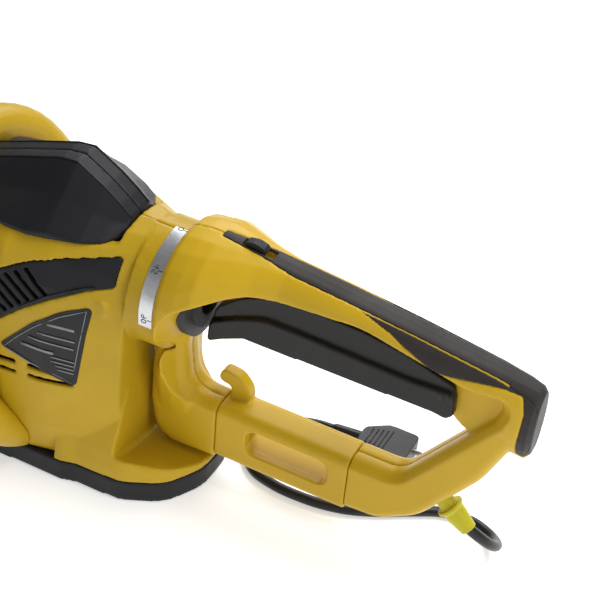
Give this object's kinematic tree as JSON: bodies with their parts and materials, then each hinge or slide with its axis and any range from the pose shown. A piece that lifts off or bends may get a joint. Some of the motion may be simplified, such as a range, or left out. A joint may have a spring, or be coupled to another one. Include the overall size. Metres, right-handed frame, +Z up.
{
  "type": "corded electric hedge trimmer",
  "caption": "Corded hedge trimmer with twin reciprocating blades, a loop front handle and a D-shaped rear handle that turns about a collar.",
  "frame": {"origin": "centre of the tool's box at the surface its base stands on, without the lead and plug", "axes": "+X to the rear handle and -X to the blade's tip, +Y to the tool's right side, +Z up"},
  "size_m": [1.077, 0.1944, 0.212],
  "materials": {
    "yellow_shell": "fine moulded satin",
    "amber_shell": "smooth satin",
    "black_shell": "fine grain",
    "soft_grip": "fine soft grain",
    "trigger_black": "smooth satin",
    "label_black": "satin film",
    "scale_silver": "silver film with dark marks",
    "bare_steel": "ground",
    "blade_steel": "ground, oiled",
    "gear_alloy": "die cast",
    "lamination": "stacked sheet",
    "copper_wire": "varnished wire",
    "inner_plastic": "plain",
    "relief_yellow": "smooth satin",
    "lead_rubber": "smooth, slightly glossy",
    "pin_metal": "nickel plated"
  },
  "bodies": {
    "tool": {"housing_left": "yellow_shell", "housing_right": "yellow_shell", "top_cover_left": "black_shell", "top_cover_right": "black_shell", "vent_grille_left": "black_shell", "vent_grille_right": "black_shell", "rating_label": "label_black", "base_cover": "black_shell", "gear_plate": "gear_alloy", "swivel_tube": "inner_plastic", "scale_ring": "scale_silver", "motor_stator": "lamination", "stator_coils": "copper_wire", "brush_holders": "inner_plastic", "motor_bearings": "bare_steel", "gear_axle": "bare_steel", "capacitor": "inner_plastic", "front_switch": "inner_plastic", "housing_screws": "bare_steel", "front_handle_front": "yellow_shell", "front_handle_rear": "yellow_shell", "hand_guard": "black_shell", "guide_bar": "bare_steel", "blade_bolts": "bare_steel", "tip_guard": "black_shell", "base_screws": "bare_steel"},
    "rotor": {"motor_shaft": "bare_steel", "rotor_core": "lamination", "commutator": "copper_wire", "cooling_fan": "inner_plastic"},
    "drive": {"drive_gear": "bare_steel", "eccentric_cams": "bare_steel"},
    "upper_blade": {"upper_blade": "blade_steel"},
    "lower_blade": {"lower_blade": "blade_steel"},
    "front_bar": {"front_switch_bar": "black_shell"},
    "rear_handle": {"handle_left": "amber_shell", "handle_right": "amber_shell", "top_grip_pad": "soft_grip", "side_grip_left": "soft_grip", "side_grip_right": "soft_grip", "cord_retainer": "amber_shell", "strain_relief": "relief_yellow", "rear_switch": "inner_plastic", "handle_screws": "bare_steel", "trigger_pin": "bare_steel", "trigger_spring": "bare_steel", "mains_lead": "lead_rubber", "plug_body": "lead_rubber", "plug_pins": "pin_metal"},
    "trigger": {"trigger": "trigger_black"},
    "release_catch": {"release_button": "black_shell"}
  },
  "joints": [
    {"name": "rotor_spin", "type": "hinge", "parent": "tool", "child": "rotor", "pos_m": [0.2215, 0, 0.143], "axis": [0, 0, 1], "continuous": true},
    {"name": "gear_spin", "type": "hinge", "parent": "tool", "child": "drive", "pos_m": [0.1795, 0, 0.143], "axis": [0, 0, 1], "continuous": true},
    {"name": "upper_blade_slide", "type": "slide", "parent": "tool", "child": "upper_blade", "axis": [1, 0, 0], "range_m": [-0.007, 0.007]},
    {"name": "lower_blade_slide", "type": "slide", "parent": "tool", "child": "lower_blade", "axis": [1, 0, 0], "range_m": [-0.007, 0.007]},
    {"name": "front_bar_press", "type": "slide", "parent": "tool", "child": "front_bar", "axis": [-0.4384, 0, 0.8988], "range_m": [0, 0.004], "stiffness_N_per_m": 400, "springref_m": -0.004},
    {"name": "handle_turn", "type": "hinge", "parent": "tool", "child": "rear_handle", "pos_m": [0.3115, 0, 0.143], "axis": [1, 0, 0], "range_deg": [-90, 90]},
    {"name": "trigger_squeeze", "type": "hinge", "parent": "rear_handle", "child": "trigger", "pos_m": [0.4825, 0, 0.144], "axis": [0, 1, 0], "range_deg": [0, 2], "stiffness_Nm_per_rad": 2, "springref_deg": -5.73},
    {"name": "catch_slide", "type": "slide", "parent": "rear_handle", "child": "release_catch", "axis": [1, 0, 0], "range_m": [0, 0.004], "stiffness_N_per_m": 150, "springref_m": -0.003}
  ],
  "couplings": [
    {"joint": "gear_spin", "follows": "rotor_spin", "ratio": -0.21739},
    {"joint": "lower_blade_slide", "follows": "upper_blade_slide", "ratio": -1}
  ]
}
